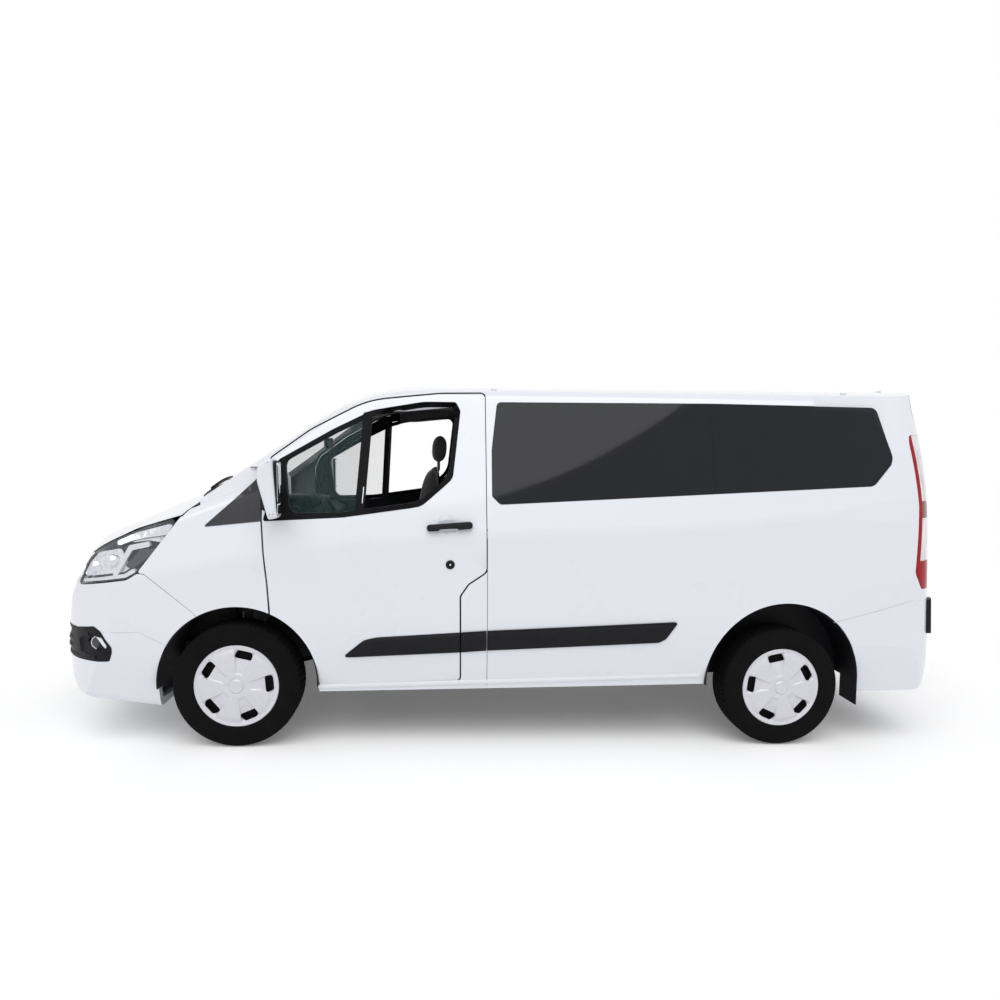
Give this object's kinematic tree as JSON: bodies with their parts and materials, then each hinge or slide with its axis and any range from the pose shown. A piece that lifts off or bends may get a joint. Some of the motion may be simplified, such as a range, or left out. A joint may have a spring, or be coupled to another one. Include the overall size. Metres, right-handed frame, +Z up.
{
  "type": "minibus",
  "caption": "High-windowed passenger minibus with hinged front doors, bonnet and tailgate, steered front wheels and a sliding side door.",
  "frame": {"origin": "on the ground, below the middle of the vehicle's overall box", "axes": "+X towards the front bumper, +Y towards the driver's left side, +Z up"},
  "size_m": [4.971, 2.268, 2.0291],
  "materials": {
    "paint": "gloss white",
    "black_plastic": "grained",
    "clear_glass": "clear, slightly green",
    "privacy_glass": "dark tint",
    "lamp_lens": "clear lens over silver",
    "red_lens": "red lens",
    "underbody": "satin black",
    "cast": "rough",
    "steel": "dull",
    "trim": "grained",
    "seat_fabric": "woven",
    "tyre": "rubber",
    "wheel_silver": "silver"
  },
  "bodies": {
    "body": {"arch_liners": "black_plastic", "body_frame": "paint", "dashboard": "trim", "engine_block": "cast", "exhaust": "steel", "floor_pan": "underbody", "front_bumper": "paint", "front_grille": "black_plastic", "front_seats": "seat_fabric", "front_subframe": "underbody", "front_wings": "paint", "fuel_tank": "black_plastic", "headlamps": "lamp_lens", "rear_axle": "underbody", "rear_bumper": "paint", "rear_seats": "seat_fabric", "rear_step": "black_plastic", "roof_panel": "paint", "side_glass": "privacy_glass", "side_panel_left": "paint", "side_panel_right": "paint", "side_trims": "black_plastic", "sliding_door": "paint", "steering_wheel": "trim", "tail_lamps": "red_lens", "windscreen": "clear_glass", "wipers": "black_plastic"},
    "bonnet": {"bonnet": "paint"},
    "tailgate": {"tailgate": "paint", "tailgate_glass": "privacy_glass"},
    "door_left": {"door_left": "paint", "door_left_glass": "clear_glass", "door_left_mirror": "paint", "door_left_trim": "black_plastic"},
    "door_right": {"door_right": "paint", "door_right_glass": "clear_glass", "door_right_mirror": "paint", "door_right_trim": "black_plastic"},
    "knuckle_left": {"knuckle_left": "cast"},
    "knuckle_right": {"knuckle_right": "cast"},
    "road_wheel_front_left": {"tyre_front_left": "tyre", "wheel_front_left": "wheel_silver"},
    "road_wheel_front_right": {"tyre_front_right": "tyre", "wheel_front_right": "wheel_silver"},
    "road_wheel_rear_left": {"tyre_rear_left": "tyre", "wheel_rear_left": "wheel_silver"},
    "road_wheel_rear_right": {"tyre_rear_right": "tyre", "wheel_rear_right": "wheel_silver"}
  },
  "joints": [
    {"name": "open_bonnet", "type": "hinge", "parent": "body", "child": "bonnet", "pos_m": [1.6224, 0, 1.29365], "axis": [0, -1, 0], "range_deg": [0, 50]},
    {"name": "open_tailgate", "type": "hinge", "parent": "body", "child": "tailgate", "pos_m": [-2.27449, 0, 2.01402], "axis": [0, 1, 0], "range_deg": [0, 85]},
    {"name": "open_door_left", "type": "hinge", "parent": "body", "child": "door_left", "pos_m": [1.23216, 0.962, 0.86986], "axis": [-0.0239, 0, -0.9997], "range_deg": [0, 65]},
    {"name": "open_door_right", "type": "hinge", "parent": "body", "child": "door_right", "pos_m": [1.23216, -0.962, 0.86986], "axis": [0.0239, 0, 0.9997], "range_deg": [0, 65]},
    {"name": "steer_left", "type": "hinge", "parent": "body", "child": "knuckle_left", "pos_m": [1.4275, 0.79, 0.328], "axis": [0, 0, 1], "range_deg": [-35, 35]},
    {"name": "steer_right", "type": "hinge", "parent": "body", "child": "knuckle_right", "pos_m": [1.4275, -0.79, 0.328], "axis": [0, 0, 1], "range_deg": [-35, 35]},
    {"name": "roll_front_left", "type": "hinge", "parent": "knuckle_left", "child": "road_wheel_front_left", "pos_m": [1.4275, 0.867, 0.328], "axis": [0, 1, 0], "continuous": true},
    {"name": "roll_front_right", "type": "hinge", "parent": "knuckle_right", "child": "road_wheel_front_right", "pos_m": [1.4275, -0.867, 0.328], "axis": [0, 1, 0], "continuous": true},
    {"name": "roll_rear_left", "type": "hinge", "parent": "body", "child": "road_wheel_rear_left", "pos_m": [-1.5055, 0.867, 0.328], "axis": [0, 1, 0], "continuous": true},
    {"name": "roll_rear_right", "type": "hinge", "parent": "body", "child": "road_wheel_rear_right", "pos_m": [-1.5055, -0.867, 0.328], "axis": [0, 1, 0], "continuous": true}
  ],
  "couplings": [
    {"joint": "steer_right", "follows": "steer_left", "ratio": 1}
  ]
}
